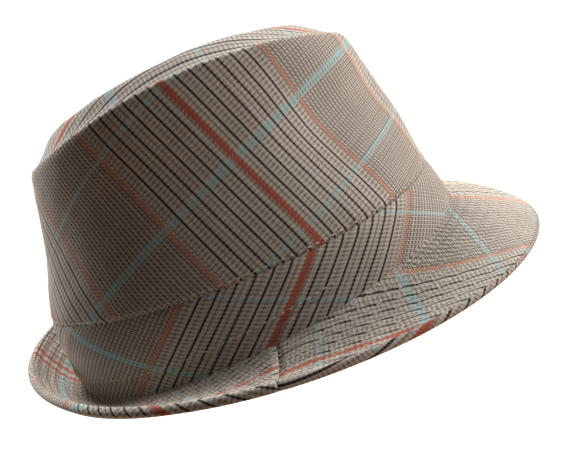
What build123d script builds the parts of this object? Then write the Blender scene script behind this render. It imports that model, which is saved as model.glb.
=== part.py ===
from build123d import *
import os
from math import atan2, cos, pi, radians, sin, sqrt

# Cloth trilby (a narrow-brimmed fedora). Millimetres. The origin is the middle of the head
# opening, where crown and brim are sewn together. +Z is up through the crown, -Y is the
# hat's front and -X is the wearer's right.

# Head opening and crown
base_half_width = 85.0
base_half_length = 103.5
taper_start = 29.0
taper_end = 117.0
taper_blend = 13.5
top_half_width = 61.5
top_half_length = 74.0
top_forward = 8.5
rim_front = 91.0
rim_side = 110.5
rim_back = 101.0
band_front = 20.7
band_side = 28.5
band_back = 37.0
waist_depth = 1.5
pinch_depth = 4.5
pinch_angle = 42.0
pinch_spread = 36.0
front_hollow = 4.5
front_hollow_top = 54.0

# Centre dent of the crown's top
ridge_rise = 6.5
ridge_share = 0.22
dent_depth = 18.0
dent_half_width = 40.0
dent_half_length = 60.0

# Brim: how far the edge reaches out from the crown and how high it lies
brim_reach_front = 34.0
brim_reach_side = 43.7
brim_reach_back = 12.5
brim_reach_swing = 2.3
brim_edge_front = -24.6
brim_edge_side = 3.3
brim_edge_back = 23.5
brim_slope_front = -21.5
brim_slope_side = -2.0
brim_slope_back = 5.5
bend_share = 0.6
brim_seam_angle = 97.0

# Cloth, canvas, lining and leather
cloth = 1.2
canvas = 0.8
lining = 0.4
leather = 1.0
layer_gap = 0.3
join_gap = 0.2
sweatband_height = 32.0
edge_gap = 0.8

# Small clearances between sewn pieces, and how far cutting shapes run past the hat
join_degrees = 0.15
tip_margin = 6.0
core_top = 140.0
canvas_share = 0.96

# Half of the way round the hat, in degrees
half_turn = 180.0

# How finely the pieces are drawn
step_degrees = 15.0
lower_points = 5
upper_points = 7
full_points = 10
brim_points = 4
tip_points = 9

# Where the layers lie: depths from the outer face of the crown, or from the top of the brim
canvas_depth = cloth + layer_gap
lining_depth = canvas_depth + canvas + layer_gap
sweatband_depth = lining_depth + lining + layer_gap
brim_under_depth = canvas_depth + canvas + layer_gap
brim_thickness = brim_under_depth + cloth
back_start = half_turn + join_degrees
back_end = 3 * half_turn - join_degrees
roof_share = ((rim_front + rim_back) / 2 - taper_start) / (taper_end - taper_start)
roof_half_length = base_half_length + (top_half_length - base_half_length) * roof_share


def around(front, side, back, angle):
    """Value at an angle from the front that passes smoothly through front, side and back."""
    mean = (front + back) / 4 + side / 2
    swing = (front - back) / 2
    double = (front + back) / 4 - side / 2
    return mean + swing * cos(angle) + double * cos(2 * angle)


def oval(angle, half_width, half_length, forward):
    """Distance from the vertical axis to an oval that is moved forward by the given amount."""
    across = (sin(angle) / half_width) ** 2
    along = (cos(angle) / half_length) ** 2
    slope = forward * cos(angle) / half_length**2
    rest = (forward / half_length) ** 2 - 1
    return (slope + sqrt(slope**2 - (across + along) * rest)) / (across + along)


def base_radius(angle):
    return oval(angle, base_half_width, base_half_length, 0)


def crown_radius(angle, height):
    """Outer face of the crown: upright at the foot, easing into a straight taper."""
    above = height - taper_start
    if abs(above) < taper_blend:
        above = (above + taper_blend) ** 2 / (4 * taper_blend)
    share = max(0.0, above / (taper_end - taper_start))
    half_width = base_half_width + (top_half_width - base_half_width) * share
    half_length = base_half_length + (top_half_length - base_half_length) * share
    return oval(angle, half_width, half_length, top_forward * share)


def roof_height(forward):
    """Height of the crown's top edge, which is level across the hat, at a place forward of it."""
    share = (forward - top_forward) / roof_half_length
    swing = (rim_front - rim_back) / 2
    return rim_side + swing * share + ((rim_front + rim_back) / 2 - rim_side) * share**2


def rim_height(angle):
    """Height at which the crown's side meets its top edge."""
    height = rim_side
    for _ in range(12):
        height = roof_height(crown_radius(angle, height) * cos(angle))
    return height


def band_height(angle):
    return around(band_front, band_side, band_back, angle)


def wall_foot(angle):
    """The crown's layers reach down to the underside of the brim."""
    return -brim_thickness


def crown_side_foot(angle):
    return band_height(angle) + layer_gap


def canvas_top(angle):
    return rim_height(angle) - canvas_depth - edge_gap


def lining_top(angle):
    return canvas_top(angle) - edge_gap


def sweatband_top(angle):
    return sweatband_height


def pinch(angle, height):
    """Hollow of the crown's side: a slight waist, a soft pinch on each side of the front, and a
    dip over the foot of the front, where the turned-down brim pulls the cloth in."""
    from_front = abs((angle + pi) % (2 * pi) - pi)
    off_centre = (from_front - radians(pinch_angle)) / radians(pinch_spread)
    low = band_height(angle)
    share = min(1.0, max(0.0, (height - low) / (rim_height(angle) - low)))
    hollow = waist_depth + pinch_depth * max(0.0, 1 - off_centre**2) ** 2
    rise = min(1.0, max(0.0, height / front_hollow_top))
    dip = front_hollow * max(0.0, cos(angle)) ** 4 * sin(pi * rise) ** 2
    return hollow * sin(pi * share) ** 2 + dip


def wall_line(angle, low, high, inset, count):
    """Upright line of a crown layer in its section plane, as (outward, up) points."""
    points = []
    for index in range(count):
        height = low + (high - low) * index / (count - 1)
        points.append((crown_radius(angle, height) - pinch(angle, height) - inset, height))
    return points


def brim_reach(angle):
    reach = around(brim_reach_front, brim_reach_side, brim_reach_back, angle)
    return reach + brim_reach_swing * (cos(3 * angle) - cos(angle))


def brim_line(angle, depth, start=0.0, end=1.0):
    """Line of a brim layer, a given depth under the top face, as (outward, up) points."""
    reach = brim_reach(angle)
    rise = around(brim_edge_front, brim_edge_side, brim_edge_back, angle)
    slope = radians(around(brim_slope_front, brim_slope_side, brim_slope_back, angle))
    bend = (bend_share * reach, bend_share * reach * sin(slope) / cos(slope))
    start = max(start, -depth * sin(slope) / (2 * bend[0]))
    points = []
    for index in range(brim_points):
        t = start + (end - start) * index / (brim_points - 1)
        out = 2 * t * (1 - t) * bend[0] + t**2 * reach
        up = 2 * t * (1 - t) * bend[1] + t**2 * rise
        run = 2 * (1 - 2 * t) * bend[0] + 2 * t * reach
        climb = 2 * (1 - 2 * t) * bend[1] + 2 * t * rise
        length = sqrt(run**2 + climb**2)
        out += depth * climb / length
        up -= depth * run / length
        points.append((base_radius(angle) + join_gap + out, up))
    return points


def tip_height(x, y):
    """Top face of the crown's tip: a ridge inside the edge and a long dent in the middle."""
    angle = atan2(-x, -y)
    level = roof_height(-y)
    edge = crown_radius(angle, level) - cloth
    from_edge = 1 - sqrt(x**2 + y**2) / edge
    ridge = ridge_rise * sin(pi * min(1.0, max(0.0, from_edge / (2 * ridge_share)))) ** 2
    across = x / dent_half_width
    along = (y + top_forward) / dent_half_length
    dent = dent_depth * cos(pi / 2 * min(1.0, sqrt(across**2 + along**2))) ** 2
    return level + ridge - dent


def section_plane(angle):
    """Upright plane through the vertical axis; its x runs outward and its y runs up."""
    outward = Vector(-sin(angle), -cos(angle), 0)
    return Plane(origin=(0, 0, 0), x_dir=outward, z_dir=outward.cross(Vector(0, 0, 1)))


def sheet(first_line, second_line, start_degrees, end_degrees):
    """Sheet of cloth whose section lies between two lines, lofted round the head."""
    steps = round((end_degrees - start_degrees) / step_degrees)
    with BuildPart() as piece:
        for step in range(steps + 1):
            angle = radians(start_degrees + (end_degrees - start_degrees) * step / steps)
            with BuildSketch(section_plane(angle)):
                with BuildLine():
                    first = Spline(*first_line(angle))
                    second = Spline(*second_line(angle))
                    Line(first @ 0, second @ 0)
                    Line(first @ 1, second @ 1)
                make_face()
        loft()
    return piece.part


def wall_sheet(low, high, inset, thickness, count, start_degrees, end_degrees):
    """Crown layer between two heights, given as functions of the angle."""
    return sheet(
        lambda angle: wall_line(angle, low(angle), high(angle), inset, count),
        lambda angle: wall_line(angle, low(angle), high(angle), inset + thickness, count),
        start_degrees,
        end_degrees,
    )


def brim_sheet(depth, thickness, start, end, start_degrees, end_degrees):
    """Brim layer between two shares of the way from the crown to the edge."""
    return sheet(
        lambda angle: brim_line(angle, depth, start, end),
        lambda angle: brim_line(angle, depth + thickness, start, end),
        start_degrees,
        end_degrees,
    )


def tip_sheet(depth, thickness, inset):
    """Layer of the crown's tip: a dented slab cut to the oval inside the crown's side."""
    reach = roof_half_length + tip_margin
    half_width = base_half_width
    with BuildPart() as piece:
        for index in range(tip_points):
            y = -top_forward - reach + 2 * reach * index / (tip_points - 1)
            upper = []
            lower = []
            for place in range(tip_points):
                x = half_width * (2 * place / (tip_points - 1) - 1)
                upper.append((x, tip_height(x, y) - depth))
                lower.append((x, tip_height(x, y) - depth - thickness))
            with BuildSketch(Plane(origin=(0, y, 0), x_dir=(1, 0, 0), z_dir=(0, -1, 0))):
                with BuildLine():
                    first = Spline(*upper)
                    second = Spline(*lower)
                    Line(first @ 0, second @ 0)
                    Line(first @ 1, second @ 1)
                make_face()
        loft()
        add(crown_core(inset), mode=Mode.INTERSECT)
    return piece.part


def crown_core(inset):
    """Everything inside the crown's side, kept a given depth from its outer face."""
    share = (core_top - taper_start) / (taper_end - taper_start)
    half_width = base_half_width + (top_half_width - base_half_width) * share
    half_length = base_half_length + (top_half_length - base_half_length) * share
    with BuildPart() as core:
        with BuildSketch(Plane.XY.offset(taper_start)):
            Ellipse(base_half_width - inset, base_half_length - inset)
        with BuildSketch(Plane((0, -top_forward * share, core_top))):
            Ellipse(half_width - inset, half_length - inset)
        loft(ruled=True)
    return core.part


def finish(piece, name):
    piece.part.label = name
    export_step(piece.part, f"parts/{name}.step")


os.makedirs("parts", exist_ok=True)

# Crown side: two curved panels of cloth, joined at the middle of the front and of the back.
# Each is backed by a panel of canvas that runs on down behind the band.
for side, start in (("right", 0), ("left", half_turn)):
    first = start + join_degrees
    last = start + half_turn - join_degrees
    with BuildPart() as crown_side:
        add(wall_sheet(crown_side_foot, rim_height, 0, cloth, upper_points, first, last))
    finish(crown_side, f"crown_side_{side}")
    with BuildPart() as crown_side_canvas:
        add(wall_sheet(wall_foot, canvas_top, canvas_depth, canvas, full_points, first, last))
    finish(crown_side_canvas, f"crown_side_canvas_{side}")

# Crown tip: the dented oval on top, its canvas and the lining's own tip under it
with BuildPart() as crown_tip:
    add(tip_sheet(0, cloth, canvas_depth))
finish(crown_tip, "crown_tip")

with BuildPart() as crown_tip_canvas:
    add(tip_sheet(canvas_depth, canvas, lining_depth))
finish(crown_tip_canvas, "crown_tip_canvas")

with BuildPart() as lining_tip:
    add(tip_sheet(lining_depth, lining, sweatband_depth))
finish(lining_tip, "lining_tip")

# Hat band: a strip of the same cloth sewn in under the crown side, joined at the back
with BuildPart() as hat_band:
    add(wall_sheet(wall_foot, band_height, 0, cloth, lower_points, back_start, back_end))
finish(hat_band, "hat_band")

# Lining side: thin cloth inside the canvas, up to the lining's tip
with BuildPart() as lining_side:
    add(
        wall_sheet(
            wall_foot, lining_top, lining_depth, lining, full_points, back_start, back_end
        )
    )
finish(lining_side, "lining_side")

# Sweatband: a leather strip inside the head opening, joined at the back
with BuildPart() as sweatband:
    add(
        wall_sheet(
            wall_foot, sweatband_top, sweatband_depth, leather, lower_points, back_start, back_end
        )
    )
finish(sweatband, "sweatband")

# Brim: top and under cloth, each in a front and a back piece that meet over the ears
seam = brim_seam_angle
for place, first, last in (("front", -seam, seam), ("back", seam, 2 * half_turn - seam)):
    for face, depth in (("top", 0), ("under", brim_under_depth)):
        with BuildPart() as brim_cloth:
            add(brim_sheet(depth, cloth, 0, 1, first + join_degrees, last - join_degrees))
        finish(brim_cloth, f"brim_{face}_{place}")

# Brim canvas: the stiff ring between the two cloths, joined at the back
with BuildPart() as brim_canvas:
    add(brim_sheet(canvas_depth, canvas, 0, canvas_share, back_start, back_end))
finish(brim_canvas, "brim_canvas")
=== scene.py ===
from math import cos, pi, radians, sin

import bmesh
import bpy
import numpy as np
from mathutils import Matrix, Vector, noise


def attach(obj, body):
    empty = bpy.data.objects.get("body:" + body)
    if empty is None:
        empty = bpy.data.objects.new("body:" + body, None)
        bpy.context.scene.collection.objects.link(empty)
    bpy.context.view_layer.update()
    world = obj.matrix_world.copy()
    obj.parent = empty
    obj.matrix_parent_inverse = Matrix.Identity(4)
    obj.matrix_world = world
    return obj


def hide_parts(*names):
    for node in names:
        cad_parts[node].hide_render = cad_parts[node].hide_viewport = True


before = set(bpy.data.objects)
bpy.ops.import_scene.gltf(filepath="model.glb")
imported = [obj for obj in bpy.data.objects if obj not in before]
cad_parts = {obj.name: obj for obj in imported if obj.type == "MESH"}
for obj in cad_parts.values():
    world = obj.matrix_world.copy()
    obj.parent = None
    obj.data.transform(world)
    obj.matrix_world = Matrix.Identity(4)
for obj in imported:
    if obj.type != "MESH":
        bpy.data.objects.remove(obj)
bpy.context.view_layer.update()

# Camera. It looks at the wearer's right side from close by, a little from behind and from
# above, and leans to one side, so that the front of the hat is carried high.
view_azimuth = radians(265.8)
view_height = radians(15.3)
view_lean = radians(-27.5)
view_distance = 0.360
view_target = Vector((0.0, -0.0190, 0.0139))
sensor_width = 0.036
focal_length = 0.0442357
nearest_shown = 0.01
millimetres = 1000

towards_camera = Vector(
    (
        sin(view_azimuth) * cos(view_height),
        -cos(view_azimuth) * cos(view_height),
        sin(view_height),
    )
)
camera_data = bpy.data.cameras.new("camera")
camera_data.sensor_width = sensor_width * millimetres
camera_data.lens = focal_length * millimetres
camera_data.clip_start = nearest_shown
camera = bpy.data.objects.new("camera", camera_data)
bpy.context.scene.collection.objects.link(camera)
right = (-towards_camera).cross(Vector((0, 0, 1))).normalized()
up = right.cross(-towards_camera)
turned_right = right * cos(view_lean) + up * sin(view_lean)
turned_up = up * cos(view_lean) - right * sin(view_lean)
axes = Matrix((turned_right, turned_up, towards_camera)).transposed()
camera.matrix_world = Matrix.Translation(view_target + towards_camera * view_distance) @ axes.to_4x4()
bpy.context.scene.camera = camera

# Crown sides. Two panels of wool check, cut with the grain along the front seam, are joined at
# the middle of the front and of the back. Their upper edge is sewn to the tip and their lower
# edge to the band, and canvas behind them keeps the crown up.
head_half_width = 0.0850
head_half_length = 0.1035
taper_start = 0.0290
taper_end = 0.1170
taper_blend = 0.0135
top_half_width = 0.0615
top_half_length = 0.0740
top_forward = 0.0085
rim_front, rim_side, rim_back = 0.0910, 0.1105, 0.1010
band_front, band_side, band_back = 0.0207, 0.0285, 0.0370
waist_depth = 0.0015
pinch_depth = 0.0045
pinch_angle = radians(42)
pinch_spread = radians(36)
front_hollow = 0.0045
front_hollow_top = 0.0540
cloth = 0.0011
canvas_thickness = 0.0007
canvas_inset = 0.0022
canvas_foot = -0.0025
canvas_gap = 0.0030
panel_gap = 0.03
rim_rounds = 12
broad_dent, broad_dent_size = 0.0005, 0.022
fine_dent, fine_dent_size = 0.0002, 0.008
seed_steps = (3.7, 1.3, 2.1)


def around(front, side, back, angle):
    """Value at an angle from the front that passes smoothly through front, side and back."""
    mean = (front + back) / 4 + side / 2
    double = (front + back) / 4 - side / 2
    return mean + (front - back) / 2 * np.cos(angle) + double * np.cos(2 * angle)


def oval(angle, half_width, half_length, forward):
    """Distance from the vertical axis to an oval moved forward by the given amount."""
    squares = (np.sin(angle) / half_width) ** 2 + (np.cos(angle) / half_length) ** 2
    slope = forward * np.cos(angle) / half_length**2
    rest = (forward / half_length) ** 2 - 1
    return (slope + np.sqrt(slope**2 - squares * rest)) / squares


def crown_radius(angle, height):
    """Plain outer form of the crown, upright at its foot and tapering above."""
    above = height - taper_start
    eased = (above + taper_blend) ** 2 / (4 * taper_blend)
    above = np.where(np.abs(above) < taper_blend, eased, above)
    share = np.maximum(0.0, above / (taper_end - taper_start))
    half_width = head_half_width + (top_half_width - head_half_width) * share
    half_length = head_half_length + (top_half_length - head_half_length) * share
    return oval(angle, half_width, half_length, top_forward * share)


rim_share = ((rim_front + rim_back) / 2 - taper_start) / (taper_end - taper_start)
rim_half_length = head_half_length + (top_half_length - head_half_length) * rim_share


def roof_height(forward):
    """Height of the crown's top edge at a place forward of the middle."""
    share = (forward - top_forward) / rim_half_length
    bow = (rim_front + rim_back) / 2 - rim_side
    return rim_side + (rim_front - rim_back) / 2 * share + bow * share**2


def rim_height(angle):
    """Height of the rim at an angle, where the crown's side runs into the roof."""
    height = rim_side + 0 * angle
    for _ in range(rim_rounds):
        height = roof_height(crown_radius(angle, height) * np.cos(angle))
    return height


def band_height(angle):
    """Height of the seam between the crown's side and the band."""
    return around(band_front, band_side, band_back, angle)


def hollow(angle, height):
    """Waist of the crown's side, the soft pinch on each side of its front, and the dip over the
    foot of the front."""
    low = band_height(angle)
    share = np.clip((height - low) / (rim_height(angle) - low), 0, 1)
    from_front = np.abs((angle + pi) % (2 * pi) - pi)
    near = np.maximum(0, 1 - ((from_front - pinch_angle) / pinch_spread) ** 2) ** 2
    rise = np.clip(height / front_hollow_top, 0, 1)
    dip = front_hollow * np.maximum(0, np.cos(angle)) ** 4 * np.sin(pi * rise) ** 2
    return (waist_depth + pinch_depth * near) * np.sin(pi * share) ** 2 + dip


def places(angle, radius, height):
    """Points in space from an angle round the hat, a distance out and a height."""
    return np.stack([-radius * np.sin(angle), -radius * np.cos(angle), height + 0 * angle], -1)


def soft_noise(points, size, seed):
    """Smooth unevenness of hand-pressed cloth, between -1 and 1, one value for each point."""
    shift = Vector([seed * step for step in seed_steps])
    flat = [noise.noise(Vector(p) / size + shift) for p in points.reshape(-1, 3)]
    return np.array(flat).reshape(points.shape[:-1])


def hand_relief(points, seed):
    """Unevenness of a large panel: broad soft dents with finer and shallower ones on them."""
    broad = broad_dent * soft_noise(points, broad_dent_size, seed)
    return broad + fine_dent * soft_noise(points, fine_dent_size, seed + 1)


def lay_flat(points, spine):
    """Flat pattern of a curved strip: its columns are laid out one after another, and the
    column named by spine is turned upright at the pattern's zero line."""
    count, rows = points.shape[:2]
    flat = np.zeros((count, rows, 2))
    steps = np.linalg.norm(np.diff(points[0], axis=0), axis=1)
    flat[0, 1:, 1] = np.cumsum(steps)
    for i in range(count - 1):
        foot, head = flat[i, 0], flat[i, -1]
        span = np.linalg.norm(points[i, -1] - points[i, 0])
        along = (head - foot) / np.linalg.norm(head - foot)
        across = np.array([along[1], -along[0]])
        ends = []
        for target in (points[i + 1, 0], points[i + 1, -1]):
            reach = target - points[i, 0]
            x = np.dot(reach, points[i, -1] - points[i, 0]) / span
            y = max(0.0, np.dot(reach, reach) - x * x) ** 0.5
            ends.append(foot + along * x + across * y)
        steps = np.linalg.norm(np.diff(points[i + 1], axis=0), axis=1)
        share = np.concatenate([[0], np.cumsum(steps)]) / steps.sum()
        flat[i + 1] = ends[0] + (ends[1] - ends[0]) * share[:, None]
    upright = flat[spine, -1] - flat[spine, 0]
    upright = upright / np.linalg.norm(upright)
    turn = np.array([[upright[1], -upright[0]], [upright[0], upright[1]]])
    return (flat - flat[spine, 0]) @ turn.T


def cloth_piece(name, points, flat, thickness, material, closed=False):
    """Sheet of cloth from a grid of points, with its flat pattern as UV map in metres."""
    count, rows = points.shape[:2]
    faces = []
    for i in range(count if closed else count - 1):
        for j in range(rows - 1):
            a, b = i * rows + j, (i + 1) % count * rows + j
            faces.append((a, a + 1, b + 1, b))
    mesh = bpy.data.meshes.new(name)
    mesh.from_pydata(points.reshape(-1, 3).tolist(), [], faces)
    pattern = mesh.uv_layers.new(name="pattern")
    corners = np.zeros(len(mesh.loops), dtype=np.int32)
    mesh.loops.foreach_get("vertex_index", corners)
    pattern.data.foreach_set("uv", flat.reshape(-1, 2)[corners].astype(np.float32).ravel())
    mesh.shade_smooth()
    mesh.materials.append(material)
    piece = bpy.data.objects.new(name, mesh)
    bpy.context.scene.collection.objects.link(piece)
    if thickness:
        solid = piece.modifiers.new("cloth thickness", "SOLIDIFY")
        solid.thickness = thickness
        solid.offset = -1
    return piece


def own(piece, slot, *nodes):
    """A finished piece rides on the hat and stands for its CAD solids."""
    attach(piece, "root")
    if nodes:
        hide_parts(*nodes)


def srgb(red, green, blue):
    """Linear colour from the 0 to 255 numbers of a dye chart."""
    linear = []
    for value in (red, green, blue):
        value /= 255
        linear.append(value / 12.92 if value <= 0.04045 else ((value + 0.055) / 1.055) ** 2.4)
    return (*linear, 1.0)


def calc(tree, operation, *inputs):
    """Math node with its inputs plugged in or set; gives back its output socket."""
    node = tree.nodes.new("ShaderNodeMath")
    node.operation = operation
    for place, value in enumerate(inputs):
        if isinstance(value, (int, float)):
            node.inputs[place].default_value = value
        else:
            tree.links.new(value, node.inputs[place])
    return node.outputs[0]


def ranged(tree, value, low, high):
    """Value between 0 and 1 spread over low to high."""
    return calc(tree, "MULTIPLY_ADD", value, high - low, low)


def mix(tree, share, first, second, blend="MIX"):
    """Colour mix whose share and colours are sockets or plain values."""
    node = tree.nodes.new("ShaderNodeMix")
    node.data_type = "RGBA"
    node.blend_type = blend
    for socket, value in ((node.inputs[0], share), (node.inputs[6], first), (node.inputs[7], second)):
        if isinstance(value, (int, float, tuple)):
            socket.default_value = value
        else:
            tree.links.new(value, socket)
    return node.outputs[2]


def between(tree, value, low, high):
    """1 where a whole value is at least low and under high, else 0."""
    over = calc(tree, "GREATER_THAN", value, low - 0.5)
    under = calc(tree, "LESS_THAN", value, high - 0.5)
    return calc(tree, "MULTIPLY", over, under)


def lines_at(tree, value, spans):
    """1 where a whole value is in one of the spans, else 0."""
    total = between(tree, value, *spans[0])
    for span in spans[1:]:
        total = calc(tree, "ADD", total, between(tree, value, *span))
    return total


def tinted(tree, color, value):
    """Colour made lighter or darker by one value."""
    return mix(tree, 1.0, color, grey(tree, value), "MULTIPLY")


def grey(tree, value):
    """Grey colour of one value."""
    node = tree.nodes.new("ShaderNodeCombineColor")
    for place in range(3):
        tree.links.new(value, node.inputs[place])
    return node.outputs[0]


def soft_spots(tree, place, scale, detail=None):
    """Noise texture at a scale; gives back its value."""
    spots = tree.nodes.new("ShaderNodeTexNoise")
    tree.links.new(place, spots.inputs["Vector"])
    if isinstance(scale, (int, float)):
        spots.inputs["Scale"].default_value = scale
    else:
        tree.links.new(scale, spots.inputs["Scale"])
    if detail is not None:
        spots.inputs["Detail"].default_value = detail
    return spots.outputs[0]


def object_place(tree):
    """Place in the hat's own space, in metres."""
    return tree.nodes.new("ShaderNodeTexCoord").outputs["Object"]


def pattern_place(tree):
    """Place on the piece's own flat pattern, in metres."""
    pattern = tree.nodes.new("ShaderNodeUVMap")
    pattern.uv_map = "pattern"
    return pattern.outputs[0]


def new_material(name):
    """New material; gives back the material, its node tree and its surface shader."""
    material = bpy.data.materials.new(name)
    material.use_nodes = True
    return material, material.node_tree, material.node_tree.nodes["Principled BSDF"]


def add_bump(tree, shader, height, distance, strength=1.0):
    """Fine relief on a surface, as high as distance in metres."""
    bump = tree.nodes.new("ShaderNodeBump")
    bump.inputs["Distance"].default_value = distance
    bump.inputs["Strength"].default_value = strength
    tree.links.new(height, bump.inputs["Height"])
    tree.links.new(bump.outputs[0], shader.inputs["Normal"])


def make_group(name, inputs, outputs):
    """New shader group; gives back the group and the nodes at its two ends."""
    group = bpy.data.node_groups.new(name, "ShaderNodeTree")
    for label, kind, default in inputs:
        socket = group.interface.new_socket(label, in_out="INPUT", socket_type=kind)
        if default is not None:
            socket.default_value = default
    for label, kind in outputs:
        group.interface.new_socket(label, in_out="OUTPUT", socket_type=kind)
    return group, group.nodes.new("NodeGroupInput"), group.nodes.new("NodeGroupOutput")


# The cloth, counted in threads from the start of its repeat.
thread_width = 0.000506
thread_repeat = 243.0
bold_zone_span = (9, 159)
bold_pitch = 11.0
bold_shift = 5.0
black_threads = (0, 2)
mid_brown_threads = (6, 8)
rust_threads = (80, 86)
orange_lines = ((2, 6), (161, 165))
aqua_lines = ((0, 3), (80, 87), (161, 165))


def glen_check():
    """The cloth's weave. The warp has a zone of bold dark lines with a weak brown line between
    each two, a rust line in its middle and an orange line along each side, and then a small
    check. The weft is a small check with pale blue-green lines. They cross in a two-and-two
    twill."""
    group, into, out = make_group(
        "glen check",
        [
            ("Pattern", "NodeSocketVector", None),
            ("Thread", "NodeSocketFloat", thread_width),
        ],
        [("Color", "NodeSocketColor"), ("Height", "NodeSocketFloat")],
    )
    split = group.nodes.new("ShaderNodeSeparateXYZ")
    group.links.new(into.outputs["Pattern"], split.inputs[0])
    across = calc(group, "DIVIDE", split.outputs[0], into.outputs["Thread"])
    along = calc(group, "DIVIDE", split.outputs[1], into.outputs["Thread"])
    warp = calc(group, "FLOOR", across)
    weft = calc(group, "FLOOR", along)
    place = calc(group, "FLOORED_MODULO", warp, thread_repeat)
    weft_place = calc(group, "FLOORED_MODULO", weft, thread_repeat)

    def thread_tone(index, seed):
        """Each yarn is spun a little lighter or darker than the next."""
        tone = group.nodes.new("ShaderNodeTexWhiteNoise")
        tone.noise_dimensions = "1D"
        group.links.new(calc(group, "ADD", index, seed), tone.inputs["W"])
        return ranged(group, tone.outputs["Value"], 0.88, 1.12)

    beige, brown = srgb(218, 208, 196), srgb(114, 99, 90)
    black, rust = srgb(48, 38, 33), srgb(198, 100, 76)
    mid_brown, pale_brown = srgb(150, 134, 122), srgb(152, 138, 127)
    orange, aqua = srgb(226, 152, 122), srgb(168, 206, 206)
    bold_zone = between(group, place, *bold_zone_span)
    bold_place = calc(group, "FLOORED_MODULO", calc(group, "ADD", place, bold_shift), bold_pitch)
    black_line = calc(group, "MULTIPLY", between(group, bold_place, *black_threads), bold_zone)
    mid_line = calc(group, "MULTIPLY", between(group, bold_place, *mid_brown_threads), bold_zone)
    rust_line = between(group, place, *rust_threads)
    orange_line = lines_at(group, place, orange_lines)
    aqua_line = lines_at(group, weft_place, aqua_lines)

    def first_of(index, count, total):
        """1 on the first count of every total threads."""
        return between(group, calc(group, "FLOORED_MODULO", index, total), 0, count)

    warp_fine = mix(group, first_of(place, 2, 4.0), beige, brown)
    warp_color = mix(group, bold_zone, warp_fine, beige)
    for line, dye in (
        (mid_line, mid_brown), (black_line, black), (orange_line, orange), (rust_line, rust)
    ):
        warp_color = mix(group, line, warp_color, dye)
    weft_fine = mix(group, first_of(weft, 1, 2.0), beige, brown)
    weft_bold = mix(group, first_of(weft, 2, 4.0), beige, pale_brown)
    weft_color = mix(group, bold_zone, weft_fine, weft_bold)
    weft_color = mix(group, aqua_line, weft_color, aqua)
    warp_over = first_of(calc(group, "ADD", warp, weft), 2, 4.0)
    warp_color = tinted(group, warp_color, thread_tone(warp, 7.3))
    weft_color = tinted(group, weft_color, thread_tone(weft, 51.9))

    # Share of the warp's colour. The twill brings each thread up half of the time; the dark and
    # rust lines are packed tight and hide the weft there, and orange and pale blue do so a little.
    cover = ranged(group, warp_over, 0.25, 0.75)
    cover = calc(group, "MULTIPLY_ADD", aqua_line, -0.12, cover)
    cover = calc(group, "MULTIPLY_ADD", orange_line, 0.12, cover)
    line_cover = ranged(group, warp_over, 0.78, 0.98)
    spread = calc(group, "SUBTRACT", line_cover, cover)
    lines = calc(group, "MAXIMUM", rust_line, black_line)
    cover = calc(group, "MULTIPLY_ADD", lines, spread, cover)
    color = mix(group, cover, weft_color, warp_color)

    def roundness(value):
        """Height over one thread, low at its edges and high at its middle."""
        wave = calc(group, "SINE", calc(group, "MULTIPLY", calc(group, "FRACT", value), pi))
        return calc(group, "POWER", wave, 0.6)

    warp_top = calc(group, "MULTIPLY", roundness(across), warp_over)
    weft_top = calc(group, "MULTIPLY", roundness(along), calc(group, "SUBTRACT", 1.0, warp_over))
    height = calc(group, "ADD", warp_top, weft_top)
    # Painted shade: the colour is darkened by up to a fifth where the threads dip at their edges and
    # between each other, and lightened a little on their crowns, as though the hollows of the weave lay
    # in shade.
    color = tinted(group, color, ranged(group, height, 0.80, 1.02))
    group.links.new(color, out.inputs["Color"])
    group.links.new(height, out.inputs["Height"])
    return group


def wool_fuzz():
    """Felted surface of used wool: soft patches of tone and fine loose fibre."""
    group, into, out = make_group(
        "wool fuzz",
        [
            ("Color", "NodeSocketColor", None),
            ("Height", "NodeSocketFloat", 0.5),
            ("Patch", "NodeSocketFloat", 45.0),
        ],
        [("Color", "NodeSocketColor"), ("Height", "NodeSocketFloat"), ("Roughness", "NodeSocketFloat")],
    )
    patch = soft_spots(group, object_place(group), into.outputs["Patch"], 3.0)
    fibre = soft_spots(group, object_place(group), 2600.0, 2.0)
    tone = calc(group, "MULTIPLY", ranged(group, patch, 0.89, 1.11), ranged(group, fibre, 0.85, 1.15))
    color = tinted(group, into.outputs["Color"], tone)
    group.links.new(color, out.inputs["Color"])
    fuzz = calc(group, "MULTIPLY", fibre, 0.5)
    group.links.new(calc(group, "ADD", into.outputs["Height"], fuzz), out.inputs["Height"])
    group.links.new(ranged(group, patch, 0.84, 0.94), out.inputs["Roughness"])
    return group


def place_group(tree, group):
    """Use of a shader group in a material."""
    node = tree.nodes.new("ShaderNodeGroup")
    node.node_tree = group
    return node


check_group = glen_check()
fuzz_group = wool_fuzz()


def check_cloth(name):
    """Wool check whose pattern follows the piece's own flat pattern."""
    material, tree, shader = new_material(name)
    weave = place_group(tree, check_group)
    tree.links.new(pattern_place(tree), weave.inputs["Pattern"])
    weave.inputs["Thread"].default_value = thread_width
    fuzz = place_group(tree, fuzz_group)
    fuzz.inputs["Patch"].default_value = 45.0
    tree.links.new(weave.outputs["Color"], fuzz.inputs["Color"])
    tree.links.new(weave.outputs["Height"], fuzz.inputs["Height"])
    tree.links.new(fuzz.outputs["Color"], shader.inputs["Base Color"])
    tree.links.new(fuzz.outputs["Roughness"], shader.inputs["Roughness"])
    add_bump(tree, shader, fuzz.outputs["Height"], 0.00012, 0.6)
    shader.inputs["Specular IOR Level"].default_value = 0.04
    shader.inputs["Sheen Weight"].default_value = 0.05
    shader.inputs["Sheen Roughness"].default_value = 0.5
    return material


check = check_cloth("wool check")


def canvas_material():
    """Stiff undyed canvas with a coarse plain weave."""
    material, tree, shader = new_material("stiffening canvas")
    weave = soft_spots(tree, object_place(tree), 900.0)
    color = mix(tree, weave, srgb(196, 186, 160), srgb(226, 218, 198))
    tree.links.new(color, shader.inputs["Base Color"])
    add_bump(tree, shader, weave, 0.0002)
    shader.inputs["Roughness"].default_value = 0.9
    return material


canvas = canvas_material()


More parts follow.
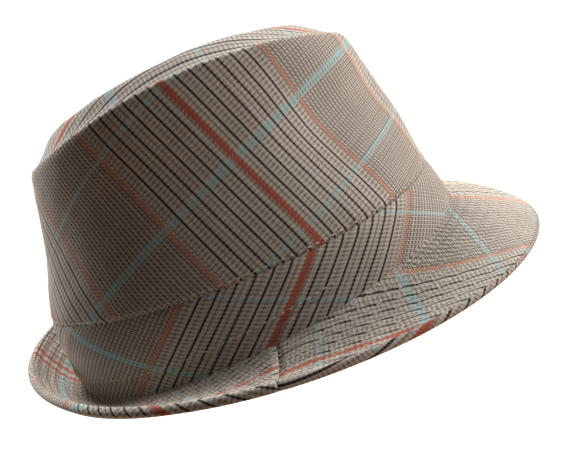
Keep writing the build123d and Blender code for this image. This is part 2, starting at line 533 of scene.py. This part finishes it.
def wall_grid(first, last, columns, rows, low, high, inset):
    """Grid of points on the crown between two angles and two heights."""
    angle = np.radians(np.linspace(first, last, columns))[:, None]
    share = np.linspace(0, 1, rows)[None, :]
    height = low(angle) + (high(angle) - low(angle)) * share
    radius = crown_radius(angle, height) - hollow(angle, height) - inset
    return angle + 0 * share, radius, height


def level_at(height):
    """Height that is the same all round the hat."""
    return lambda angle: 0 * angle + height


def under_rim(distance):
    """Height that follows the rim at a distance below it."""
    return lambda angle: rim_height(angle) - distance


seam_depth = 0.0007
seam_reach = 0.0016


def seam_dip(distance):
    """Cloth turns in where it is sewn to its neighbour."""
    return seam_depth * np.exp(-((distance / seam_reach) ** 2))


# The pale lines repeat at cross_repeat in the check and a little closer on the finished pieces.
cross_repeat = 0.0410
side_repeat = 0.0392
side_stretch = cross_repeat / side_repeat
side_line = 0.1596
side_level = 0.1091
crown_panels = (
    ("right", panel_gap, 180 - panel_gap, 0),
    ("left", 180 + panel_gap, 360 - panel_gap, -1),
)

sewn_over_band = []
for side, first, last, spine in crown_panels:
    angle, radius, height = wall_grid(
        first, last, columns=181, rows=72, low=band_height, high=rim_height, inset=0
    )
    raw = places(angle, radius, height)
    flat = lay_flat(raw, spine)
    from_rim = rim_height(angle) - height
    from_band = height - band_height(angle)
    from_join = radius * np.minimum(angle - angle[0, 0], angle[-1, 0] - angle)
    dip = seam_dip(from_rim) + seam_dip(from_band) + seam_dip(from_join)
    radius = radius - dip + hand_relief(raw, 1)
    across = np.abs(flat[..., 0])
    pattern = np.stack([side_line - across, (side_level - flat[..., 1]) * side_stretch], -1)
    panel_points = places(angle, radius, height)
    panel = cloth_piece(f"crown_side_cloth_{side}", panel_points, pattern, cloth, check)
    sewn_over_band.append(panel_points)
    own(panel, "check_cloth", f"crown_side_{side}")
    inside = places(*wall_grid(
        first, last, columns=61, rows=16,
        low=level_at(canvas_foot), high=under_rim(canvas_gap), inset=canvas_inset,
    ))
    stiffener = cloth_piece(
        f"crown_side_stiffener_{side}", inside, lay_flat(inside, 0), canvas_thickness, canvas
    )
    own(stiffener, "canvas", f"crown_side_canvas_{side}")

# Crown tip. The flat top of the crown is one panel of the same check with its grain front to
# back. Its edge stands up in a soft ridge behind the rim seam and its middle is dented.
ridge_rise = 0.0065
ridge_width = 0.22
dent_depth = 0.018
dent_half_width = 0.040
dent_half_length = 0.060
tip_inset = 0.0006
tip_shift = 0.0012
tip_line, tip_level = 0.0760, 0.020
flat_edge = 0.01
merge_distance = 1e-7


def tip_height(x, y, inset):
    """Height of the crown's top over a place, with its ridge and its dent."""
    level = roof_height(-y)
    angle = np.arctan2(-x, -y)
    edge = crown_radius(angle, level) - inset
    from_edge = 1 - np.hypot(x, y) / edge
    ridge = np.sin(pi * np.clip(from_edge / (2 * ridge_width), 0, 1)) ** 2
    off = np.minimum(1, np.hypot(x / dent_half_width, (y + top_forward) / dent_half_length))
    return level + ridge_rise * ridge - dent_depth * np.cos(pi / 2 * off) ** 2


def tip_grid(columns, rows, inset, drop):
    """Grid of points over the top, from its sewn edge to its middle."""
    angle = np.linspace(0, 2 * pi, columns, endpoint=False)[:, None]
    share = np.linspace(1, 0, rows)[None, :]
    edge = crown_radius(angle, rim_height(angle)) - inset
    x = -edge * np.sin(angle) * share
    y = -edge * np.cos(angle) * share - top_forward * (1 - share)
    return np.stack([x, y, tip_height(x, y, tip_shift) - drop], -1)


def close_pole(piece):
    """Join the points that meet at the middle of a round piece."""
    mesh = bmesh.new()
    mesh.from_mesh(piece.data)
    bmesh.ops.remove_doubles(mesh, verts=mesh.verts, dist=merge_distance)
    mesh.to_mesh(piece.data)
    mesh.free()


raw = tip_grid(columns=240, rows=70, inset=tip_inset, drop=0)
edge_distance = np.linalg.norm(raw - raw[:, :1], axis=2)
raw[..., 2] += hand_relief(raw, 3) * np.minimum(1, edge_distance / flat_edge) - seam_dip(edge_distance)
pattern = np.stack([raw[..., 0] + tip_line, raw[..., 1] * side_stretch + tip_level], -1)
tip = cloth_piece("crown_tip_cloth", raw, pattern, cloth, check, closed=True)
close_pole(tip)
own(tip, "check_cloth", "crown_tip")


def inner_tip(name, columns, rows, inset, drop, thickness, material):
    """Round piece of canvas or lining under the top."""
    grid = tip_grid(columns, rows, inset, drop)
    piece = cloth_piece(name, grid, grid[..., :2], thickness, material, closed=True)
    close_pole(piece)
    return piece


tip_canvas = inner_tip(
    "crown_tip_stiffener", columns=96, rows=24, inset=0.0030, drop=0.0020,
    thickness=canvas_thickness, material=canvas,
)
own(tip_canvas, "canvas", "crown_tip_canvas")

# Hat band. One strip of the check, cut on the bias and sewn in below the crown sides as the
# crown's lowest part. A soft tuck near its foot is held by a second row of stitches.
brim_thickness = 0.0038
tuck_level = 0.0075
tuck_depth = 0.0011
tuck_at_side, tuck_swing = 0.5, 0.75
bulge_height, bulge_middle, bulge_reach = 0.0006, 0.0022, 0.0024
crease_middle, crease_reach = -0.0004, 0.0007
band_relief_height, band_relief_size = 0.0003, 0.018
band_end = 179.85
band_columns = 361
band_measured_row = 30
band_warp_along, band_warp_up, band_line = 0.621, 0.784, -0.0580
band_weft_along, band_weft_up, band_level = -0.503, 0.864, 0.0265
band_stretch = cross_repeat / 0.0353


def tuck_share(angle):
    """The tuck is full at the back and fades away toward the front."""
    return np.clip(tuck_at_side - tuck_swing * np.cos(angle), 0, 1)


def band_relief(angle, height):
    """Bulge above the tuck and the crease under it."""
    above = height - tuck_level
    bulge = np.exp(-(((above - bulge_middle) / bulge_reach) ** 2)) * bulge_height
    crease = np.exp(-(((above - crease_middle) / crease_reach) ** 2)) * tuck_depth
    return tuck_share(angle) * (bulge - crease)


angle, radius, height = wall_grid(
    -band_end, band_end, columns=band_columns, rows=90,
    low=level_at(-brim_thickness), high=band_height, inset=0,
)
raw = places(angle, radius, height)
steps = np.linalg.norm(np.diff(raw[:, band_measured_row], axis=0), axis=1)
arc = np.concatenate([[0], np.cumsum(steps)])
along = (arc - arc[band_columns // 2])[:, None] + 0 * height
relief = band_relief(angle, height) + band_relief_height * soft_noise(raw, band_relief_size, 5)
radius = radius - seam_dip(band_height(angle) - height) + relief
pattern = np.stack(
    [
        band_warp_along * along + band_warp_up * height + band_line,
        (band_weft_up * height + band_weft_along * along + band_level) * band_stretch,
    ],
    -1,
)
band_points = places(angle, radius, height)
band = cloth_piece("hat_band_cloth", band_points, pattern, cloth, check)
own(band, "check_cloth", "hat_band")

# Brim. Top and underside are cloth panels, each in a front and a back piece, with canvas between
# them; the under cloth wraps the thick edge and meets the top cloth on its ridge. The layers are
# quilted in rows, and the brim is turned down in front and up behind.
reach_front, reach_side, reach_back = 0.0340, 0.0437, 0.0125
reach_swing = 0.0023
edge_front, edge_side, edge_back = -0.0246, 0.0033, 0.0235
slope_front, slope_side, slope_back = radians(-21.5), radians(-2.0), radians(5.5)
bend_share = 0.6
brim_seam_angle = 97.0
brim_seam_gap = 0.02
brim_cloth = 0.0010
start_inset = 0.0008
fan_share = 0.87
pressed_out = 0.010
front_line = 0.0786
front_level = 0.048
front_thread_share = 0.80
front_stretch = 1.08
front_shift = 0.0422
back_level = 0.030
row_first = 0.0045
row_pitch = 0.0050
row_depth = 0.0004
row_width = 0.0014
row_fade = 0.003
under_row_share = 0.8
edge_turn_in, edge_turn_reach = 0.0004, 0.0006
brim_relief_height, brim_relief_size = 0.00025, 0.010
edge_bulge = 0.0013
edge_end = radians(72)
edge_join_share = 0.2
core_start, core_end = 0.02, 0.97
core_depth = 0.0020


def brim_place(angle, share, depth, out=0.0):
    """Point of the brim's section at a share of its width, a depth under its top surface and a
    distance beyond its end."""
    reach = around(reach_front, reach_side, reach_back, angle)
    reach = reach + reach_swing * (np.cos(3 * angle) - np.cos(angle))
    rise = around(edge_front, edge_side, edge_back, angle)
    slope = np.tan(around(slope_front, slope_side, slope_back, angle))
    bend = 2 * (1 - share) * share * bend_share * reach
    away = bend + share**2 * reach
    lift = bend * slope + share**2 * rise
    grow = 2 * (1 - 2 * share) * bend_share * reach
    away_step = grow + 2 * share * reach
    lift_step = grow * slope + 2 * share * rise
    length = np.hypot(away_step, lift_step)
    away = away + (depth * lift_step + out * away_step) / length
    lift = lift + (out * lift_step - depth * away_step) / length
    start = oval(angle, head_half_width, head_half_length, 0.0) - start_inset * (1 - share) ** 4
    return places(angle, start + away, lift)


def strip_lengths(points):
    """Distance along each column of a grid from its first point."""
    steps = np.linalg.norm(np.diff(points, axis=1), axis=2)
    return np.concatenate([np.zeros((len(points), 1)), np.cumsum(steps, axis=1)], axis=1)


def quilting(edge_distance, inner_distance):
    """Groove of the quilting rows, at even distances from the brim's edge."""
    number = np.maximum(0, np.round((edge_distance - row_first) / row_pitch))
    off = (edge_distance - row_first - number * row_pitch) / row_width
    return row_depth * np.exp(-(off**2)) * np.clip(inner_distance / row_fade, 0, 1)


def back_pattern(flat, line):
    along = (flat[..., 1] + back_level) * side_stretch
    return np.stack([np.abs(flat[..., 0]) - line, along], -1)


def front_pattern(points, angle, share):
    """It is cut with less curve than its seam to the head, so the grain fans out, and pressing it
    down stretches the middle of its width."""
    step = np.diff(points[:, 0, :2], axis=0)
    middle = len(points) // 2
    turn = -np.unwrap(np.arctan2(step[:, 1], -step[:, 0]))
    turn = -(turn - (turn[middle - 1] + turn[middle]) / 2)
    length = np.hypot(step[:, 0], step[:, 1])
    foot_x = np.concatenate([[0], np.cumsum(length * np.cos(fan_share * turn))])
    foot_y = np.concatenate([[0], np.cumsum(-length * np.sin(fan_share * turn))])
    heading = angle - (1 - fan_share) * np.append(turn, turn[-1])[:, None]
    width = strip_lengths(points)
    across = (foot_x - foot_x[middle])[:, None] + width * np.sin(heading)
    ahead = (foot_y - foot_y[middle])[:, None] + width * np.cos(heading)
    bulge = pressed_out * 4 * share * (1 - share) * np.abs(np.sin(2 * angle))
    return np.stack(
        [
            (np.abs(across) - bulge - front_line) * front_thread_share,
            (ahead + front_level) * front_stretch + front_shift,
        ],
        -1,
    )


front_end = brim_seam_angle - brim_seam_gap
back_start = brim_seam_angle + brim_seam_gap
brim_pieces = (
    ("front", -front_end, front_end, 259, 0.0900),
    ("back", back_start, 360 - back_start, 221, 0.0850),
)
quilted = {"top": [], "under": []}
for end, first, last, columns, line in brim_pieces:
    angle = np.radians(np.linspace(first, last, columns))[:, None]
    spine = columns // 2
    share = np.linspace(0, 1, 110)[None, :]
    plain = brim_place(angle, share, 0.0)
    lengths = strip_lengths(plain)
    edge_distance = lengths[:, -1:] - lengths
    join_distance = np.hypot(plain[..., 0], plain[..., 1]) * np.minimum(
        angle - angle[0, 0], angle[-1, 0] - angle
    )
    joins = seam_dip(join_distance)
    turned_in = edge_turn_in * np.exp(-((edge_distance / edge_turn_reach) ** 2))
    relief = brim_relief_height * soft_noise(plain, brim_relief_size, 6)
    depth = quilting(edge_distance, lengths) + joins + turned_in + relief
    top_points = brim_place(angle, share, depth)
    quilted["top"].append(top_points)
    if end == "front":
        pattern = front_pattern(plain, angle, share)
    else:
        pattern = back_pattern(lay_flat(plain, spine), line)
    top = cloth_piece(
        f"brim_top_cloth_{end}", top_points[:, ::-1], pattern[:, ::-1], brim_cloth, check
    )
    own(top, "check_cloth", f"brim_top_{end}")

    bottom = brim_place(angle, share, brim_thickness)
    bottom_flat = lay_flat(bottom, spine)
    under_depth = brim_thickness - quilting(edge_distance, lengths) * under_row_share - joins
    bottom_points = brim_place(angle, share[:, :-1], under_depth[:, :-1])
    quilted["under"].append(bottom_points)
    turn = np.linspace(-pi / 2, edge_end, 16)[None, :]
    edge_depth = brim_thickness / 2 * (1 - np.sin(turn)) - joins[:, -1:] * edge_join_share
    edge_points = brim_place(angle, 1.0 + 0 * turn, edge_depth, edge_bulge * np.cos(turn))
    lead = bottom_flat[:, -1] - bottom_flat[:, -2]
    lead = lead / np.linalg.norm(lead, axis=1)[:, None]
    edge_run = strip_lengths(edge_points)
    edge_flat = bottom_flat[:, -1:] + lead[:, None, :] * edge_run[..., None]
    pattern = back_pattern(np.concatenate([bottom_flat[:, :-1], edge_flat], axis=1), line)
    under_points = np.concatenate([bottom_points, edge_points], axis=1)
    under = cloth_piece(f"brim_under_cloth_{end}", under_points, pattern, brim_cloth, check)
    own(under, "check_cloth", f"brim_under_{end}")

angle = np.linspace(0, 2 * pi, 180, endpoint=False)[:, None]
share = np.linspace(core_start, core_end, 16)[None, :]
core = brim_place(angle, share, core_depth)
brim_core = cloth_piece("brim_stiffener", core, core[..., :2], canvas_thickness, canvas, closed=True)
own(brim_core, "canvas", "brim_canvas")

# Lining. A wall and a round tip of thin dark brown satin follow the canvas inside the crown.
# They are seamed together round the rim, and the wall's foot runs down behind the sweatband.
lining_inset = 0.0034
lining_foot = -0.0022
lining_gap = 0.0042
lining_thickness = 0.0003


def satin_material():
    """Dark brown lining satin, smooth with a fine running weave."""
    material, tree, shader = new_material("lining satin")
    stretch = tree.nodes.new("ShaderNodeMapping")
    stretch.inputs["Scale"].default_value = (4500.0, 300.0, 1.0)
    tree.links.new(pattern_place(tree), stretch.inputs["Vector"])
    yarn = soft_spots(tree, stretch.outputs[0], 1.0)
    color = mix(tree, yarn, srgb(74, 55, 44), srgb(104, 80, 64))
    tree.links.new(color, shader.inputs["Base Color"])
    add_bump(tree, shader, yarn, 0.00005)
    shader.inputs["Roughness"].default_value = 0.42
    shader.inputs["Anisotropic"].default_value = 0.4
    return material


def standing_strip(name, grid, relief, thickness, material):
    """Strip that stands inside the crown, drawn a little inward and rippled by hand.
    Relief gives the inward draw, then the height, size and seed of its ripples."""
    angle, radius, height = grid
    raw = places(angle, radius, height)
    inward, ripple, size, seed = relief
    points = places(angle, radius - inward - ripple * soft_noise(raw, size, seed), height)
    return cloth_piece(name, points, lay_flat(raw, len(raw) // 2), thickness, material)


satin = satin_material()
wall_lining = standing_strip(
    "lining_wall_satin",
    wall_grid(
        -band_end, band_end, columns=181, rows=30,
        low=level_at(lining_foot), high=under_rim(lining_gap), inset=lining_inset,
    ),
    relief=(0.0003, 0.0004, 0.012, 7), thickness=lining_thickness, material=satin,
)
own(wall_lining, "lining", "lining_side")
tip_lining = inner_tip(
    "lining_tip_satin", columns=120, rows=30, inset=0.0042, drop=0.0034,
    thickness=lining_thickness, material=satin,
)
own(tip_lining, "lining", "lining_tip")

# Sweatband. A strip of thin tan leather stands against the head inside the foot of the crown.
# It is sewn along the head opening and its ends meet at the back.
sweatband_top = 0.0282
sweatband_inset = 0.0040
sweatband_end = 179.7
leather_thickness = 0.0009


def leather_material():
    """Tan sheepskin with a fine grain, darker where it is handled."""
    material, tree, shader = new_material("sweatband leather")
    grain = tree.nodes.new("ShaderNodeTexVoronoi")
    grain.inputs["Scale"].default_value = 1400.0
    tree.links.new(object_place(tree), grain.inputs["Vector"])
    patch = soft_spots(tree, object_place(tree), 60.0)
    color = mix(tree, patch, srgb(128, 92, 62), srgb(166, 124, 86))
    tree.links.new(color, shader.inputs["Base Color"])
    add_bump(tree, shader, grain.outputs["Distance"], 0.00008, 0.5)
    tree.links.new(ranged(tree, patch, 0.42, 0.62), shader.inputs["Roughness"])
    return material


sweat = standing_strip(
    "sweatband_leather",
    wall_grid(
        -sweatband_end, sweatband_end, columns=181, rows=20,
        low=level_at(-brim_thickness), high=level_at(sweatband_top), inset=sweatband_inset,
    ),
    relief=(0.0004, 0.0003, 0.015, 8), thickness=leather_thickness, material=leather_material(),
)
own(sweat, "sweatband", "sweatband")

# Stitching. Rows of pale beige thread, tightened into the cloth: the quilting rows of the brim
# on both faces, one row over the band seam and one along the tuck at the back of the band.
seam_stitch = (0.0038, 0.0023, 0.00060)  # pitch, length and width
quilting_stitch = (0.0030, 0.0022, 0.00050)
seam_seed, tuck_seed, quilting_seed = 21, 22, 23
shortest, longest = 0.8, 1.15
seam_row_level, seam_row_lift = 0.0018, 0.00035
tuck_row_level, tuck_row_start = 0.0034, 75
quilting_rows, quilting_lift = 9, 0.00015
row_end_gap = 0.002
shortest_row = 5


def thread_material():
    """Twisted beige cotton."""
    material, tree, shader = new_material("sewing thread")
    twist = soft_spots(tree, object_place(tree), 3000.0)
    color = mix(tree, twist, srgb(205, 192, 172), srgb(236, 226, 208))
    tree.links.new(color, shader.inputs["Base Color"])
    shader.inputs["Roughness"].default_value = 0.8
    return material


thread = thread_material()


def stitch_tool():
    """Node group that lays short stitches in a row along every edge line of a mesh."""
    group = bpy.data.node_groups.new("lay stitches", "GeometryNodeTree")
    group.interface.new_socket("Geometry", in_out="INPUT", socket_type="NodeSocketGeometry")
    for label, value in zip(("Pitch", "Length", "Width"), seam_stitch):
        socket = group.interface.new_socket(label, in_out="INPUT", socket_type="NodeSocketFloat")
        socket.default_value = value
    socket = group.interface.new_socket("Seed", in_out="INPUT", socket_type="NodeSocketInt")
    socket.default_value = seam_seed
    group.interface.new_socket("Thread", in_out="INPUT", socket_type="NodeSocketMaterial")
    group.interface.new_socket("Geometry", in_out="OUTPUT", socket_type="NodeSocketGeometry")
    into = group.nodes.new("NodeGroupInput")
    out = group.nodes.new("NodeGroupOutput")
    link = group.links.new
    line = group.nodes.new("GeometryNodeMeshToCurve")
    link(into.outputs["Geometry"], line.inputs["Mesh"])
    spaced = group.nodes.new("GeometryNodeResampleCurve")
    spaced.mode = "LENGTH"
    link(line.outputs["Curve"], spaced.inputs["Curve"])
    link(into.outputs["Pitch"], spaced.inputs["Length"])
    bead = group.nodes.new("GeometryNodeMeshUVSphere")
    bead.inputs["Segments"].default_value = 6
    bead.inputs["Rings"].default_value = 4
    bead.inputs["Radius"].default_value = 0.5
    tangent = group.nodes.new("GeometryNodeInputTangent")
    turned = group.nodes.new("FunctionNodeAlignEulerToVector")
    turned.axis = "Z"
    link(tangent.outputs[0], turned.inputs["Vector"])
    vary = group.nodes.new("FunctionNodeRandomValue")
    vary.data_type = "FLOAT"
    vary.inputs[2].default_value = shortest
    vary.inputs[3].default_value = longest
    link(into.outputs["Seed"], vary.inputs["Seed"])
    long = group.nodes.new("ShaderNodeMath")
    long.operation = "MULTIPLY"
    link(into.outputs["Length"], long.inputs[0])
    link(vary.outputs[1], long.inputs[1])
    scale = group.nodes.new("ShaderNodeCombineXYZ")
    link(into.outputs["Width"], scale.inputs[0])
    link(into.outputs["Width"], scale.inputs[1])
    link(long.outputs[0], scale.inputs[2])
    lay = group.nodes.new("GeometryNodeInstanceOnPoints")
    link(spaced.outputs["Curve"], lay.inputs["Points"])
    link(bead.outputs["Mesh"], lay.inputs["Instance"])
    link(turned.outputs[0], lay.inputs["Rotation"])
    link(scale.outputs[0], lay.inputs["Scale"])
    real = group.nodes.new("GeometryNodeRealizeInstances")
    link(lay.outputs["Instances"], real.inputs["Geometry"])
    smooth = group.nodes.new("GeometryNodeSetShadeSmooth")
    link(real.outputs["Geometry"], smooth.inputs[0])
    paint = group.nodes.new("GeometryNodeSetMaterial")
    link(smooth.outputs[0], paint.inputs["Geometry"])
    link(into.outputs["Thread"], paint.inputs["Material"])
    link(paint.outputs["Geometry"], out.inputs["Geometry"])
    return group


stitch_group = stitch_tool()


def stitches(name, lines, pitch, length, width, seed):
    """Stitches along lines of points, made into one plain mesh."""
    points, edges = [], []
    for line in lines:
        start = len(points)
        points += [tuple(p) for p in line]
        edges += [(start + k, start + k + 1) for k in range(len(line) - 1)]
    guide = bpy.data.meshes.new(name)
    guide.from_pydata(points, edges, [])
    piece = bpy.data.objects.new(name, guide)
    bpy.context.scene.collection.objects.link(piece)
    layer = piece.modifiers.new("stitches", "NODES")
    layer.node_group = stitch_group
    chosen = {"Pitch": pitch, "Length": length, "Width": width, "Seed": seed, "Thread": thread}
    for item in stitch_group.interface.items_tree:
        if item.name in chosen and item.in_out == "INPUT":
            layer[item.identifier] = chosen[item.name]
    bpy.context.view_layer.update()
    view = bpy.context.evaluated_depsgraph_get()
    sewn = bpy.data.meshes.new_from_object(piece.evaluated_get(view))
    piece.modifiers.clear()
    piece.data = sewn
    own(piece, "check_cloth")


def row_along(points, distances, outward):
    """Lines across a grid's columns at distances from their first points, lifted off the cloth;
    a line is cut where a column is too short for it."""
    lengths = strip_lengths(points)
    rows = []
    for distance in distances:
        run = []
        for column, length in zip(points, lengths):
            if distance < length[-1] - row_end_gap:
                run.append([np.interp(distance, length, column[:, k]) for k in range(3)])
            elif len(run) > shortest_row:
                rows.append(np.array(run) + outward(np.array(run)))
                run = []
        if len(run) > shortest_row:
            rows.append(np.array(run) + outward(np.array(run)))
    return rows


def away_from_head(lift):
    """Push away from the hat's upright axis."""
    return lambda points: lift * points * [1, 1, 0] / np.hypot(points[:, :1], points[:, 1:2])


def upright(lift):
    """Push straight up, or down where lift is under 0."""
    return lambda points: np.array([0, 0, lift])


rows = []
for points in sewn_over_band:
    rows += row_along(points, [seam_row_level], away_from_head(seam_row_lift))
stitches("band_seam_stitching", rows, *seam_stitch, seam_seed)

turn = np.linspace(-band_end, band_end, band_columns)
tuck_row_place = brim_thickness + tuck_level + tuck_row_level
for name, half in (("left", turn < -tuck_row_start), ("right", turn > tuck_row_start)):
    rows = row_along(band_points[half], [tuck_row_place], away_from_head(seam_row_lift))
    stitches(f"tuck_stitching_{name}", rows, *seam_stitch, tuck_seed)

for face, lift in (("top", quilting_lift), ("under", -quilting_lift)):
    rows = []
    for points in quilted[face]:
        distances = [row_first + row_pitch * number for number in range(quilting_rows)]
        rows += row_along(points[:, ::-1], distances, upright(lift))
    stitches(f"brim_{face}_stitching", rows, *quilting_stitch, quilting_seed)

# Floor and light. A floor that looks white and throws back warm light lies well below the hat,
# inside a white surround. Four soft lamps stand round the hat, two of them ahead of it, and the
# surround fills the shade a little.
floor_size = 6.0
floor_level = -0.30
floor_tint = (0.52, 0.36, 0.26, 1.0)
seen_white = 0.97
fill_light = 0.03
corners = [
    (x * floor_size, y * floor_size, floor_level) for x, y in ((-1, -1), (1, -1), (1, 1), (-1, 1))
]
floor_mesh = bpy.data.meshes.new("floor")
floor_mesh.from_pydata(corners, [], [(0, 1, 2, 3)])
floor = bpy.data.objects.new("floor", floor_mesh)
bpy.context.scene.collection.objects.link(floor)


def seen_rays(tree):
    """1 on rays that show the surround itself, 0 on those that light the hat."""
    path = tree.nodes.new("ShaderNodeLightPath")
    seen = calc(tree, "MAXIMUM", path.outputs["Is Camera Ray"], path.outputs["Is Glossy Ray"])
    return calc(tree, "MAXIMUM", seen, path.outputs["Is Transmission Ray"])


floor_paint, tree, shader = new_material("pale floor")
shader.inputs["Base Color"].default_value = floor_tint
shader.inputs["Roughness"].default_value = 0.9
glow = tree.nodes.new("ShaderNodeEmission")
tree.links.new(calc(tree, "MULTIPLY", seen_rays(tree), seen_white), glow.inputs["Strength"])
both = tree.nodes.new("ShaderNodeAddShader")
tree.links.new(shader.outputs[0], both.inputs[0])
tree.links.new(glow.outputs[0], both.inputs[1])
tree.links.new(both.outputs[0], tree.nodes["Material Output"].inputs["Surface"])
floor_mesh.materials.append(floor_paint)

world = bpy.data.worlds.new("studio")
bpy.context.scene.world = world
world.use_nodes = True
tree = world.node_tree
fill = tree.nodes["Background"]
fill.inputs["Color"].default_value = (1.0, 1.0, 1.0, 1.0)
strength = calc(tree, "MULTIPLY_ADD", seen_rays(tree), seen_white, fill_light)
tree.links.new(strength, fill.inputs["Strength"])

lamp_distance = 1.0
lamp_size = 0.40
lamp_aim = Vector((-0.02, 0.0, 0.06))
# Name, degrees from the front toward the wearer's right, degrees above the aim, watts.
lamps = (
    ("far side lamp", -90, 60, 12.0),
    ("front lamp", -12, 12, 7.6),
    ("near front lamp", 15, 16, 4.6),
    ("back lamp", -140, 12, 7.5),
)
for name, turn, lift, power in lamps:
    lamp_data = bpy.data.lights.new(name, "AREA")
    lamp_data.energy = power
    lamp_data.shape = "DISK"
    lamp_data.size = lamp_size
    lamp = bpy.data.objects.new(name, lamp_data)
    bpy.context.scene.collection.objects.link(lamp)
    turn, lift = radians(turn), radians(lift)
    away = Vector((-sin(turn) * cos(lift), -cos(turn) * cos(lift), sin(lift))) * lamp_distance
    lamp.matrix_world = (
        Matrix.Translation(lamp_aim + away) @ (-away).to_track_quat("-Z", "Y").to_matrix().to_4x4()
    )

bpy.context.scene.view_settings.view_transform = "Standard"
